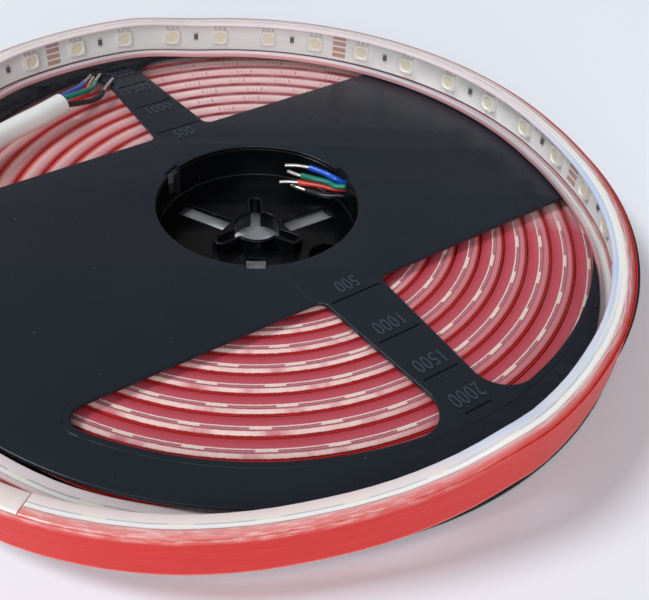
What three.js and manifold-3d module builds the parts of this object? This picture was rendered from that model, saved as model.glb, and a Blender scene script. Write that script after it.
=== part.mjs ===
// A strip light on its snap-together plastic reel, lying flat, with the outer turn sprung loose.
// Millimetres, +Z up. Everything is laid out about the reel's axis with the table at z = 0, and
// at the end the whole group is centred on its own footprint.

import * as THREE from 'three';
import { mergeVertices } from 'three/addons/utils/BufferGeometryUtils.js';
import Module from 'manifold-3d';

const wasm = await Module();
wasm.setup();

// Strip: a clear silicone sleeve round a board, with an adhesive tape on its outer face.
const stripHeight = 12;
const sleeveThickness = 5.6;
const sleeveFrontWall = 2.0;
const sleeveBackWall = 1.0;
const sleeveEdgeWall = 0.8;
const tapeThickness = 0.25;
const tapeEdge = 0.4;
const tapeGap = 0.1;
const turnGap = 0.15;
const boardThickness = 0.3;
const boardClearance = 0.3;
const chipSize = 5;
const chipDepth = 1.6;
const chipPitch = 100 / 6;
const chipSeat = 0.1;
const firstChipSwing = 490.6;
const chipsFrom = 360;

// Reel: two flanges with half a hub each.
const flangeRadius = 101.9;
const lowerRimShort = 0.8;
const flangeThickness = 1.2;
const stripPlayBelow = 1.4;
const stripPlayAbove = 2.0;
const hubBoreRadius = 28;
const hubWall = 1.0;
const hubFit = 0.3;
const collarWall = 1.0;
const collarShort = 2.6;
const seamDepth = 9.7;
const hubSlotWidth = 5.8;
const hubNotchDepth = 0.4;
const slotAzimuths = [-90, 30, 150];

// Windows left by a broad bar and two arms that stand across it.
const barAzimuth = 33;
const barHalfWidth = 43.2;
const armHalfWidth = 8.8;
const armTaper = 0.059;
const ringWidth = 11.7;
const innerFillet = 2.5;
const armFillet = 8;
const barFillet = 4;

// Length marks: grooves across the arms.
const markDistances = [45.5, 62.3, 76.9, 89.1];
const markLengths = [14.7, 12.3, 10.0, 7.7];
const markWidth = 0.6;
const markDepth = 0.4;

// Web across the hub, with the arbor boss.
const webDepth = 12.3;
const webThickness = 1.5;
const arborRadius = 6.5;
const bossWall = 1.0;
const bossRise = 3.8;
const keyHalfWidth = 1.45;
const keyReach = 11.7;
const keyAzimuths = [93, 213, 333];
const webSlotStart = 9.8;
const webSlotEnd = 25;
const webSlotWidth = 5.4;
const pocketRadius = 5.5;
const pocketDepth = 2.1;
const pocketWall = 1.2;
const pocketDistance = 22;
const pocketAzimuth = -23;

// Lead, its cores and the short cores at the inner end.
const leadDiameter = 6.5;
const coreDiameter = 1.7;
const tipDiameter = 1.1;
const jointGap = 0.3;
const outerCapLength = 17.2;
const innerCapLength = 9;

const SEGMENTS = { rim: 60, hub: 36, boss: 24, keyEnd: 12 };
const overcut = 1;
const woundStep = 15;
const looseStep = 7.5;

const radians = THREE.MathUtils.degToRad;
const reelHeight = 2 * flangeThickness + stripHeight + stripPlayBelow + stripPlayAbove;
const stripRest = flangeThickness + stripPlayBelow;
const collarRadius = hubBoreRadius + hubWall + hubFit + collarWall;
const seam = reelHeight - seamDepth;
const windowRadius = flangeRadius - ringWidth;

const colours = {
  reel: { color: 0x24282f, roughness: 0.5, metalness: 0 },
  sleeve: { color: 0xe9e4e2, roughness: 0.35, metalness: 0 },
  board: { color: 0xf4f3ee, roughness: 0.5, metalness: 0 },
  tape: { color: 0xd8453f, roughness: 0.5, metalness: 0 },
  cap: { color: 0xe6dcda, roughness: 0.4, metalness: 0 },
  jacket: { color: 0xf0efec, roughness: 0.45, metalness: 0 },
  blue: { color: 0x1f56c4, roughness: 0.4, metalness: 0 },
  green: { color: 0x16806f, roughness: 0.4, metalness: 0 },
  red: { color: 0xd8432f, roughness: 0.4, metalness: 0 },
  black: { color: 0x15161a, roughness: 0.4, metalness: 0 },
  solder: { color: 0xc9c8c4, roughness: 0.3, metalness: 1 },
};

const group = new THREE.Group();

function addMesh(name, geometry, look) {
  geometry.computeVertexNormals();
  const mesh = new THREE.Mesh(geometry, new THREE.MeshStandardMaterial(colours[look]));
  mesh.name = name;
  group.add(mesh);
  return mesh;
}

// Booleans on closed geometries.
function toSolid(geometry) {
  const bare = geometry.clone();
  bare.deleteAttribute('normal');
  bare.deleteAttribute('uv');
  const merged = mergeVertices(bare, 1e-5);
  const mesh = new wasm.Mesh({
    numProp: 3,
    vertProperties: new Float32Array(merged.attributes.position.array),
    triVerts: new Uint32Array(merged.index.array),
  });
  return new wasm.Manifold(mesh);
}

function toGeometry(solid) {
  const mesh = solid.getMesh();
  const geometry = new THREE.BufferGeometry();
  geometry.setAttribute('position', new THREE.BufferAttribute(mesh.vertProperties, 3));
  geometry.setIndex(new THREE.BufferAttribute(mesh.triVerts, 1));
  return geometry;
}

function polar(radius, azimuth, height = 0) {
  const angle = radians(azimuth);
  return new THREE.Vector3(radius * Math.cos(angle), radius * Math.sin(angle), height);
}

// A disc or a ring standing on the plane z = bottom.
function ring(innerRadius, outerRadius, bottom, top, segments) {
  const profile = [
    new THREE.Vector2(innerRadius, bottom),
    new THREE.Vector2(outerRadius, bottom),
    new THREE.Vector2(outerRadius, top),
    new THREE.Vector2(innerRadius, top),
  ];
  if (innerRadius > 0) profile.push(profile[0].clone());
  return toSolid(new THREE.LatheGeometry(profile, segments).rotateX(Math.PI / 2));
}

// A box whose length runs outward along an azimuth, from one distance to another.
function radialBox(azimuth, start, end, width, bottom, top) {
  const box = new THREE.BoxGeometry(end - start, width, top - bottom);
  box.translate((start + end) / 2, 0, (bottom + top) / 2);
  box.rotateZ(radians(azimuth));
  return toSolid(box);
}

function arcPoints(x, y, radius, from, to, count) {
  const points = [];
  for (let i = 0; i <= count; i += 1) {
    const angle = from + ((to - from) * i) / count;
    points.push(new THREE.Vector2(x + radius * Math.cos(angle), y + radius * Math.sin(angle)));
  }
  return points;
}

// One window, in axes with X along the bar and Y along the arm: bounded by the bar's edge, the
// arm's tapering edge and the ring, with its three corners rounded.
function windowOutline() {
  const slope = Math.hypot(1, armTaper);
  const edgeAngle = Math.atan(armTaper);
  const armEdge = (y) => armHalfWidth - armTaper * (y - barHalfWidth);
  const innerY = barHalfWidth + innerFillet;
  const innerX = armEdge(innerY) + innerFillet * slope;
  const barY = barHalfWidth + barFillet;
  const barX = Math.sqrt((windowRadius - barFillet) ** 2 - barY ** 2);
  const reach = windowRadius - armFillet;
  let outerY = reach;
  let outerX = 0;
  for (let pass = 0; pass < 20; pass += 1) {
    outerX = armEdge(outerY) + armFillet * slope;
    outerY = Math.sqrt(reach ** 2 - outerX ** 2);
  }
  const ringFrom = Math.atan2(barY, barX);
  const ringTo = Math.atan2(outerY, outerX);
  const armSide = Math.PI + edgeAngle;
  return [
    ...arcPoints(innerX, innerY, innerFillet, armSide, 1.5 * Math.PI, 3),
    ...arcPoints(barX, barY, barFillet, -Math.PI / 2, ringFrom, 5),
    ...arcPoints(0, 0, windowRadius, ringFrom, ringTo, 12).slice(1, -1),
    ...arcPoints(outerX, outerY, armFillet, ringTo, armSide, 7),
  ];
}

function flange(bottom, radius) {
  const disc = new THREE.Shape(arcPoints(0, 0, radius, 0, 2 * Math.PI, SEGMENTS.rim).slice(1));
  disc.holes.push(new THREE.Path(arcPoints(0, 0, hubBoreRadius, 0, 2 * Math.PI, SEGMENTS.hub).slice(1)));
  const outline = windowOutline();
  for (const [sideX, sideY] of [[1, 1], [-1, 1], [-1, -1], [1, -1]]) {
    const points = outline.map((p) => new THREE.Vector2(sideX * p.x, sideY * p.y));
    disc.holes.push(new THREE.Path(points));
  }
  const plate = new THREE.ExtrudeGeometry(disc, { depth: flangeThickness, bevelEnabled: false });
  plate.rotateZ(radians(barAzimuth)).translate(0, 0, bottom);
  return toSolid(plate);
}

// Grooves across both arms in the face of a flange.
function lengthMarks(bottom, top) {
  const cuts = [];
  for (const side of [90, -90]) {
    markDistances.forEach((distance, i) => {
      const start = distance - markWidth / 2;
      const end = distance + markWidth / 2;
      cuts.push(radialBox(barAzimuth + side, start, end, markLengths[i], bottom, top));
    });
  }
  return cuts;
}

function join(solids) {
  return solids.reduce((sum, solid) => sum.add(solid));
}

// Upper half: flange and the short hub wall that the lower half's collar goes round.
function topHalf() {
  const underside = reelHeight - flangeThickness;
  let body = flange(underside, flangeRadius);
  const wallRadius = hubBoreRadius + hubWall;
  body = body.add(ring(hubBoreRadius, wallRadius, seam, reelHeight - flangeThickness / 2, SEGMENTS.hub));
  for (const azimuth of slotAzimuths) {
    const notchEnd = wallRadius + hubNotchDepth;
    const inside = hubBoreRadius - overcut;
    const low = seam - overcut;
    const high = reelHeight + overcut;
    body = body.subtract(radialBox(azimuth, inside, notchEnd, hubSlotWidth, low, high));
  }
  return body.subtract(join(lengthMarks(reelHeight - markDepth, reelHeight + overcut)));
}

// The boss is a tube with three closed keyways that stand out from it.
function keyways(halfWidth, reach, bottom, top) {
  const parts = [];
  for (const azimuth of keyAzimuths) {
    parts.push(radialBox(azimuth, 0, reach, 2 * halfWidth, bottom, top));
    const end = new THREE.CylinderGeometry(halfWidth, halfWidth, top - bottom, SEGMENTS.keyEnd);
    const place = polar(reach, azimuth, (top + bottom) / 2);
    end.rotateX(Math.PI / 2).translate(place.x, place.y, place.z);
    parts.push(toSolid(end));
  }
  return join(parts);
}

// Lower half: flange, hub wall with the collar above it, and the web with the arbor boss.
function bottomHalf() {
  const webTop = reelHeight - webDepth;
  const webBottom = webTop - webThickness;
  const bossTop = webTop + bossRise;
  const wallTop = seam - hubFit;
  const collarTop = reelHeight - flangeThickness - collarShort;
  const collarInside = collarRadius - collarWall;
  const wallMiddle = hubBoreRadius + hubWall / 2;
  let body = flange(0, flangeRadius - lowerRimShort);
  body = body.add(ring(hubBoreRadius, collarRadius, flangeThickness / 2, wallTop, SEGMENTS.hub));
  body = body.add(ring(collarInside, collarRadius, wallTop - hubWall, collarTop, SEGMENTS.hub));
  body = body.add(ring(0, wallMiddle, webBottom, webTop, SEGMENTS.hub));
  body = body.add(ring(0, arborRadius + bossWall, webBottom, bossTop, SEGMENTS.boss));
  body = body.add(keyways(keyHalfWidth + bossWall, keyReach, webBottom, bossTop));

  const pocket = polar(pocketDistance, pocketAzimuth);
  const pocketFloor = webTop - pocketDepth;
  const cup = new THREE.CylinderGeometry(
    pocketRadius + pocketWall, pocketRadius + pocketWall, webTop - pocketFloor + pocketWall, SEGMENTS.boss,
  );
  const cupMiddle = (webTop + pocketFloor - pocketWall) / 2;
  cup.rotateX(Math.PI / 2).translate(pocket.x, pocket.y, cupMiddle);
  body = body.add(toSolid(cup));
  const hollow = new THREE.CylinderGeometry(pocketRadius, pocketRadius, 2 * pocketDepth, SEGMENTS.boss);
  hollow.rotateX(Math.PI / 2).translate(pocket.x, pocket.y, webTop);
  body = body.subtract(toSolid(hollow));

  body = body.subtract(ring(0, arborRadius, 0, reelHeight, SEGMENTS.boss));
  body = body.subtract(keyways(keyHalfWidth, keyReach, 0, reelHeight));
  for (const azimuth of slotAzimuths) {
    const slot = radialBox(azimuth, webSlotStart, webSlotEnd, webSlotWidth, 0, webTop + overcut);
    body = body.subtract(slot);
    const inside = hubBoreRadius;
    const outside = collarRadius + overcut;
    body = body.subtract(radialBox(azimuth, inside, outside, hubSlotWidth, wallTop, reelHeight));
  }
  return body.subtract(join(lengthMarks(-overcut, markDepth)));
}

addMesh('top_reel_half', toGeometry(topHalf()), 'reel');
addMesh('bottom_reel_half', toGeometry(bottomHalf()), 'reel');

// The strip's run, in degrees turned clockwise from its inner end at azimuth 0. It is wound
// evenly up to woundRadius, then slackens, leaves the flanges at the front, climbs on top of the
// reel at the left, goes once round and slides off over the rim at the front again.
const collarClearance = 0.7;
const woundMargin = 14;
const startRadius = collarRadius + collarClearance;
const woundRadius = flangeRadius - woundMargin;
const leastPitch = sleeveThickness + tapeGap + tapeThickness + turnGap;
const partTurn = 0.25;
const wholeTurns = Math.floor((woundRadius - startRadius) / leastPitch - partTurn);
const woundTurns = wholeTurns + partTurn;
const woundPitch = (woundRadius - startRadius) / woundTurns;
const woundAngle = 360 * woundTurns;

// The loose turn on top of the reel is a circle that is off the axis.
const loopX = -8.8;
const loopY = -9.6;
const loopMargin = 7.9;
const loopRadius = flangeRadius - loopMargin;
const loopFrom = 450;
const loopTo = 615;

// Inner face of the strip after the wound part: degrees further on, and millimetres past the rim.
const leaving = [
  [0, -14], [90, -12.4], [180, -10.8], [270, -9.2], [315, -7.9], [337.5, -6.4], [352.5, -4.7],
  [360, -2.9], [367.5, -1.3], [375, 0], [382.5, 0.9], [390, 1.2], [410, 1.6], [425, 1.5],
  [435, 1.2], [442.5, 0.8], [450, 0.4],
];
const returning = [
  [615, -19.1], [622.5, -17.8], [630, -16], [637.5, -13.9], [645, -11.8], [660, -7.6],
  [667.5, -5.4], [675, -3.5], [682.5, -1.3], [690, 0.5], [697.5, 0.9], [705, 1.6], [712.5, 2.4],
  [720, 3.9], [727.5, 5.5], [735, 6.6], [742.5, 7.4], [752, 8.1],
];
// Height of its lower edge, from 0 between the flanges to 1 on top of the reel. It rides over
// the lead's cores near 500 degrees.
const lifting = [
  [0, 0], [352.5, 0], [360, 0.01], [367.5, 0.04], [375, 0.1], [382.5, 0.17], [390, 0.26],
  [410, 0.5], [425, 0.74], [435, 0.9], [442.5, 1], [470, 1], [488, 1.14], [510, 1.14], [528, 1],
  [690, 1], [697.5, 0.84], [705, 0.72], [712.5, 0.63], [720, 0.57], [727.5, 0.53], [735, 0.48],
  [742.5, 0.43], [752, 0.39],
];
const sleeveEnd = 742.5;
const topClearance = 0.3;
const topSeat = reelHeight + topClearance;

// Smooth interpolation that never overshoots its table.
function along(table, at) {
  const last = table.length - 1;
  const secant = (i) => (table[i + 1][1] - table[i][1]) / (table[i + 1][0] - table[i][0]);
  const slope = (i) => {
    if (i === 0) return secant(0);
    if (i === last) return secant(last - 1);
    const before = secant(i - 1);
    const after = secant(i);
    return before * after <= 0 ? 0 : (2 * before * after) / (before + after);
  };
  let i = 0;
  while (i < last - 1 && at > table[i + 1][0]) i += 1;
  const span = table[i + 1][0] - table[i][0];
  const t = (at - table[i][0]) / span;
  const rest = 1 - t;
  return table[i][1] * (1 + 2 * t) * rest * rest + table[i + 1][1] * t * t * (3 - 2 * t)
    + span * (slope(i) * t * rest * rest - slope(i + 1) * t * t * rest);
}

function loopReach(azimuth) {
  const outward = polar(1, azimuth);
  const alongAxis = loopX * outward.x + loopY * outward.y;
  const across = loopX * outward.y - loopY * outward.x;
  return alongAxis + Math.sqrt(loopRadius ** 2 - across ** 2);
}

// Azimuth, inner radius and lower edge of the strip at an angle turned.
function stripAt(turned) {
  const swing = turned - woundAngle;
  const azimuth = -turned;
  if (swing <= 0) {
    return { azimuth, radius: startRadius + (woundPitch * turned) / 360, bottom: stripRest };
  }
  let radius = loopReach(azimuth);
  if (swing < loopFrom) radius = flangeRadius + along(leaving, swing);
  if (swing > loopTo) radius = flangeRadius + along(returning, swing);
  return { azimuth, radius, bottom: stripRest + (topSeat - stripRest) * along(lifting, swing) };
}

function stationAngles(from, to) {
  const angles = [from];
  for (let k = Math.ceil((from + 0.01) / woundStep) * woundStep; k < woundAngle; k += woundStep) {
    if (k < to - 0.01) angles.push(k);
  }
  for (let k = woundAngle; k < to - 0.01; k += looseStep) {
    if (k > from + 0.01) angles.push(k);
  }
  angles.push(to);
  return angles;
}

// A section swept along the strip. Its points are [distance outward from the inner face, height
// above the lower edge], and an inner outline of as many points makes it hollow.
function stripSweep(from, to, outline, hollow = null) {
  const stations = stationAngles(from, to).map(stripAt);
  const positions = [];
  const indices = [];
  const loops = hollow ? [outline, hollow] : [outline];
  for (const { azimuth, radius, bottom } of stations) {
    for (const loop of loops) {
      for (const [out, up] of loop) {
        const point = polar(radius + out, azimuth, bottom + up);
        positions.push(point.x, point.y, point.z);
      }
    }
  }
  const count = outline.length;
  const perStation = count * loops.length;
  const quad = (a, b, c, d) => indices.push(a, b, c, a, c, d);
  for (let s = 0; s + 1 < stations.length; s += 1) {
    for (let l = 0; l < loops.length; l += 1) {
      for (let i = 0; i < count; i += 1) {
        const here = s * perStation + l * count + i;
        const beside = s * perStation + l * count + ((i + 1) % count);
        if (l === 0) quad(here, beside, beside + perStation, here + perStation);
        else quad(here, here + perStation, beside + perStation, beside);
      }
    }
  }
  const endBase = (stations.length - 1) * perStation;
  for (let i = 0; i < count; i += 1) {
    const next = (i + 1) % count;
    if (hollow) {
      quad(i, i + count, next + count, next);
      quad(endBase + i, endBase + next, endBase + next + count, endBase + i + count);
    } else if (i > 0 && i < count - 1) {
      indices.push(0, next, i);
      indices.push(endBase, endBase + i, endBase + next);
    }
  }
  const geometry = new THREE.BufferGeometry();
  geometry.setAttribute('position', new THREE.Float32BufferAttribute(positions, 3));
  geometry.setIndex(indices);
  return geometry;
}

function rectangle(near, far, low, high) {
  return [[near, low], [far, low], [far, high], [near, high]];
}

const sleeveOutline = rectangle(0, sleeveThickness, 0, stripHeight);
const cavityFar = sleeveThickness - sleeveBackWall;
const cavity = rectangle(sleeveFrontWall, cavityFar, sleeveEdgeWall, stripHeight - sleeveEdgeWall);
const stripEnd = woundAngle + sleeveEnd;
addMesh('strip_sleeve', stripSweep(0, stripEnd, sleeveOutline, cavity), 'sleeve');

const tapeNear = sleeveThickness + tapeGap;
const tapeOutline = rectangle(tapeNear, tapeNear + tapeThickness, tapeEdge, stripHeight - tapeEdge);
const outerTurn = outerCapLength / radians(1) / (flangeRadius + along(returning, sleeveEnd));
addMesh('strip_tape', stripSweep(0, stripEnd + outerTurn, tapeOutline), 'tape');

// The board runs the whole length; the light chips stand on it where the strip is out of the reel.
const boardFar = cavityFar - boardClearance;
const boardNear = boardFar - boardThickness;
const boardLow = sleeveEdgeWall + boardClearance;
const boardOutline = rectangle(boardNear, boardFar, boardLow, stripHeight - boardLow);

function boardWithChips() {
  let board = toSolid(stripSweep(0, stripEnd, boardOutline));
  const angles = stationAngles(woundAngle, stripEnd);
  const points = angles.map((angle) => {
    const { azimuth, radius, bottom } = stripAt(angle);
    return polar(radius + boardNear, azimuth, bottom + stripHeight / 2);
  });
  const lengths = [0];
  for (let i = 1; i < points.length; i += 1) {
    lengths.push(lengths[i - 1] + points[i].distanceTo(points[i - 1]));
  }
  const swings = angles.map((angle) => angle - woundAngle);
  const lengthAt = (swing) => {
    const i = swings.findIndex((value) => value > swing) - 1;
    const share = (swing - swings[i]) / (swings[i + 1] - swings[i]);
    return lengths[i] + share * (lengths[i + 1] - lengths[i]);
  };
  const outOfReel = lengthAt(chipsFrom);
  const stripLength = lengths[lengths.length - 1];
  const first = lengthAt(firstChipSwing);
  let run = first - Math.floor((first - outOfReel) / chipPitch) * chipPitch;
  const chips = [];
  for (; run < stripLength - chipPitch / 2; run += chipPitch) {
    const i = lengths.findIndex((value) => value > run) - 1;
    const direction = points[i + 1].clone().sub(points[i]).normalize();
    const middle = points[i].clone().addScaledVector(direction, run - lengths[i]);
    const outward = new THREE.Vector3(0, 0, 1).cross(direction).normalize();
    const upward = new THREE.Vector3().crossVectors(direction, outward);
    const chip = new THREE.BoxGeometry(chipSize, chipDepth + chipSeat, chipSize);
    const turn = new THREE.Matrix4().makeBasis(direction, outward, upward);
    middle.addScaledVector(outward, (chipSeat - chipDepth) / 2);
    chip.applyMatrix4(turn.setPosition(middle));
    chips.push(toSolid(chip));
  }
  return board.add(join(chips));
}

addMesh('strip_board', toGeometry(boardWithChips()), 'board');

// End plugs, butted to the sleeve.
const outerGap = (outerTurn * jointGap) / outerCapLength;
addMesh('outer_end_cap', stripSweep(stripEnd + outerGap, stripEnd + outerTurn, sleeveOutline), 'cap');
const innerTurn = innerCapLength / radians(1) / (startRadius + sleeveThickness / 2);
const innerGap = (innerTurn * jointGap) / innerCapLength;
addMesh('inner_end_cap', stripSweep(-innerTurn, -innerGap, sleeveOutline), 'cap');

// Round tube along a list of points, with a step about every so many millimetres.
function tube(points, diameter, sides, stepLength) {
  const path = new THREE.CatmullRomCurve3(points, false, 'centripetal');
  const section = new THREE.Shape(arcPoints(0, 0, diameter / 2, 0, 2 * Math.PI, sides).slice(1));
  const steps = Math.max(2, Math.round(path.getLength() / stepLength));
  return new THREE.ExtrudeGeometry(section, { steps, extrudePath: path, bevelEnabled: false });
}

// A cord's hand-chosen points: x, y and height above the reel's top face.
function cordPoints(rows) {
  return rows.map(([x, y, above]) => new THREE.Vector3(x, y, reelHeight + above));
}

// A core with its bare tinned end, which starts a small gap past the insulation.
function coreWithTip(name, look, rows, tipRows) {
  addMesh(`${name}_core_${look}`, tube(cordPoints(rows), coreDiameter, 8, 2.6), look);
  addMesh(`${name}_tip_${look}`, tube(cordPoints(tipRows), tipDiameter, 8, 2.6), 'solder');
}

const leadRows = [
  [-59.2, -96, -3.1], [-61, -94.9, -3.05], [-68, -90.9, -1.5], [-76.5, -84.6, 2.8], [-83.5, -75.8, 8],
  [-88, -65, 10.4], [-90, -53.5, 10.9], [-90.5, -42, 10], [-90, -30, 8], [-88.8, -18, 6],
  [-87, -6.5, 4.6], [-84.4, 4.5, 3.8], [-80.8, 15.3, 3.55], [-76.1, 25.4, 3.55],
  [-71.5, 31.7, 3.55], [-66.6, 37.7, 3.55], [-61.2, 45.2, 3.55],
];
addMesh('lead_jacket', tube(cordPoints(leadRows), leadDiameter, 10, 8), 'jacket');
coreWithTip('outer', 'blue', [
  [-62.1, 46.6, 4.3], [-60.6, 50, 4.0], [-59, 54, 3.2], [-57.8, 58.5, 2.2], [-57.4, 62, 1.5],
], [[-57.3, 62.4, 1.4], [-56.9, 65.2, 1.0], [-56, 68.5, 0.9]]);
coreWithTip('outer', 'green', [
  [-60.2, 46.2, 5.0], [-57.4, 49.2, 4.6], [-54.8, 53, 3.8], [-53.4, 58, 2.6], [-53.6, 62.5, 1.6],
], [[-53.65, 62.9, 1.5], [-53.6, 66, 1.1], [-53, 69.5, 0.9]]);
coreWithTip('outer', 'red', [
  [-61, 46, 2.2], [-58.6, 49.4, 1.9], [-56, 53.8, 1.5], [-55.3, 58, 1.15], [-55.6, 61, 1.1],
], [[-55.65, 61.4, 1.0], [-55.4, 64.5, 0.9], [-54.9, 67.5, 0.9]]);
coreWithTip('outer', 'black', [
  [-59.7, 45, 3.2], [-56.2, 47.6, 2.4], [-52.6, 51, 1.6], [-50.8, 54.6, 1.2], [-50.4, 57.4, 1.15],
], [[-50.35, 57.8, 1.1], [-49.6, 62, 1.0], [-48.4, 66.6, 0.9]]);

// Short cores at the inner end: out of the inner cap, through the hub's slot and into the hub.
coreWithTip('inner', 'blue', [
  [33.4, 9.5, -7.8], [32.1, 13, -6.8], [28.9, 15.3, -5], [25.4, 15.5, -4.1],
  [22.6, 15.2, -2.5], [20, 17, -2.1], [15.3, 20, -2],
], [[14.9, 20.1, -2], [11.6, 20.9, -2], [8, 20.9, -2]]);
coreWithTip('inner', 'green', [
  [31.6, 8.95, -7.8], [30.5, 11.8, -6.8], [28.3, 13.5, -5], [25, 13.6, -4.2],
  [22.8, 13.9, -4.3], [20.7, 15.1, -3.8], [16.1, 16.5, -3.5], [12.8, 17.9, -3.5],
], [[12.4, 18, -3.5], [10.6, 18.7, -3.3], [8.8, 19.6, -3.1]]);
coreWithTip('inner', 'red', [
  [33.4, 9.5, -10.2], [32.1, 13, -9.2], [28.9, 15.3, -7.3], [25.4, 15.4, -6.4],
  [22.6, 15.2, -6.1], [18.5, 16.2, -5.7], [12, 17.2, -5.4],
], [[11.6, 17.2, -5.4], [9, 17.4, -5.4], [6.4, 17.2, -5.4]]);
coreWithTip('inner', 'black', [
  [31.6, 8.95, -10.2], [30.5, 11.8, -9.4], [28.3, 13.5, -8], [25, 13.5, -7.4],
  [20, 13.4, -7.2], [14.2, 15.6, -7.1],
], [[13.9, 15.8, -7.1], [12, 17, -7.1], [10.1, 18.3, -7.1]]);

// Centre the reel and the strip on their common footprint; the cords don't count.
const cordPart = /^(lead|outer_core|outer_tip|inner_core|inner_tip)/;
const footprint = new THREE.Box3();
for (const mesh of group.children) {
  if (!cordPart.test(mesh.name)) footprint.expandByObject(mesh);
}
const middle = footprint.getCenter(new THREE.Vector3());
group.position.set(-middle.x, -middle.y, 0);

export default group;
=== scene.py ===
import math
from collections import namedtuple

import bmesh
import bpy
from mathutils import Matrix, Vector


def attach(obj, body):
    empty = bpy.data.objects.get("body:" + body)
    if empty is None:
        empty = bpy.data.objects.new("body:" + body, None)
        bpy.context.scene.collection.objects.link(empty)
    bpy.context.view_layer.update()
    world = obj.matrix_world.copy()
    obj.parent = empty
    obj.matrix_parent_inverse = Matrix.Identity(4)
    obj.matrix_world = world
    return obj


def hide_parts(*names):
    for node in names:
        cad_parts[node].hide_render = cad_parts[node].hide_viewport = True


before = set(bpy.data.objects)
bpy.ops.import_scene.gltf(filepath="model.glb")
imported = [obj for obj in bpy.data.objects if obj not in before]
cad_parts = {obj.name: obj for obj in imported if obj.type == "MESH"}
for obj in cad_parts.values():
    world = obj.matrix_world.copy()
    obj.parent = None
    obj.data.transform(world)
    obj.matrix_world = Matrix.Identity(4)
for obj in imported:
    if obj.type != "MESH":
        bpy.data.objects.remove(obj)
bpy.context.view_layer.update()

MM = 0.001
scene = bpy.context.scene

# ---------------- sizes, mm
AXIS = (3.249073, 5.309959)
STRIP_H, SLEEVE_T = 12.0, 5.6
TAPE_GAP, TAPE_T, TAPE_EDGE, TURN_GAP = 0.1, 0.25, 0.4, 0.15
BOARD_NEAR, BOARD_FAR, BOARD_LOW, BOARD_HIGH = 4.0, 4.3, 1.1, 10.9
CHIP, CHIP_DEPTH, PITCH, FIRST_CHIP = 5.0, 1.6, 100 / 6, 490.6
RIM_R, RIM_STEP, PLATE, PLAY_LOW, PLAY_HIGH = 101.9, 0.8, 1.2, 1.4, 2.0
BORE_R, WALL, FIT, COLLAR_SHORT, SEAM_DEPTH = 28.0, 1.0, 0.3, 2.6, 9.7
SLOT_W, SLOTS = 5.8, (-90, 30, 150)
BAR_AZ, BAR_HW, ARM_HW, ARM_TAPER, RING_W = 33, 43.2, 8.8, 0.059, 11.7
INNER_FILLET, BAR_FILLET, ARM_FILLET, TRIM = 2.5, 4.0, 8.0, 1.85
MARKS = ((45.5, 14.7, "500"), (62.3, 12.3, "1000"), (76.9, 10.0, "1500"), (89.1, 7.7, "2000"))
WEB_DEPTH, WEB_T, ARBOR_R, BOSS_RISE = 12.3, 1.5, 6.5, 3.8
KEY_HW, KEY_REACH, KEYS = 1.45, 11.7, (93, 213, 333)
POCKET_R, POCKET_D, POCKET_AT, POCKET_AZ, POCKET_WALL = 5.5, 2.1, 22, -23, 1.2
HEIGHT = 2 * PLATE + STRIP_H + PLAY_LOW + PLAY_HIGH
REST = PLATE + PLAY_LOW
COLLAR_R = BORE_R + WALL + FIT + WALL
SEAM = HEIGHT - SEAM_DEPTH
WINDOW_R = RIM_R - RING_W

START_R, WOUND_R = COLLAR_R + 0.7, RIM_R - 14
WOUND_TURNS = math.floor((WOUND_R - START_R) / (SLEEVE_T + TAPE_GAP + TAPE_T + TURN_GAP) - 0.25) + 0.25
WOUND_PITCH = (WOUND_R - START_R) / WOUND_TURNS
WOUND = 360 * WOUND_TURNS
LOOP_X, LOOP_Y, LOOP_R, LOOP_FROM, LOOP_TO = -8.8, -9.6, RIM_R - 7.9, 450, 615
LEAVING = [(0, -14), (90, -12.4), (180, -10.8), (270, -9.2), (315, -7.9), (337.5, -6.4), (352.5, -4.7),
           (360, -2.9), (367.5, -1.3), (375, 0), (382.5, 0.9), (390, 1.2), (410, 1.6), (425, 1.5),
           (435, 1.2), (442.5, 0.8), (450, 0.4)]
RETURNING = [(615, -19.1), (622.5, -17.8), (630, -16), (637.5, -13.9), (645, -11.8), (660, -7.6),
             (667.5, -5.4), (675, -3.5), (682.5, -1.3), (690, 0.5), (697.5, 0.9), (705, 1.6), (712.5, 2.4),
             (720, 3.9), (727.5, 5.5), (735, 6.6), (742.5, 7.4), (752, 8.1)]
LIFTING = [(0, 0), (352.5, 0), (360, 0.01), (367.5, 0.04), (375, 0.1), (382.5, 0.17), (390, 0.26),
           (410, 0.5), (425, 0.74), (435, 0.9), (442.5, 1), (470, 1), (488, 1.14), (510, 1.14), (528, 1),
           (690, 1), (697.5, 0.84), (705, 0.72), (712.5, 0.63), (720, 0.57), (727.5, 0.53), (735, 0.48),
           (742.5, 0.43), (752, 0.39)]
SLEEVE_END, TOP_SEAT = 742.5, HEIGHT + 0.3
OUTER_CAP, INNER_CAP, JOINT = 17.2, 9.0, 0.3
LOOSE_FROM, CHIPS_FROM, SHINE_FROM, SHINE_TURN = 348, 300, 598, 34
TURN_STEP, CAP_STEP, INNER_STEPS = 2.5, 0.6, 8

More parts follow.
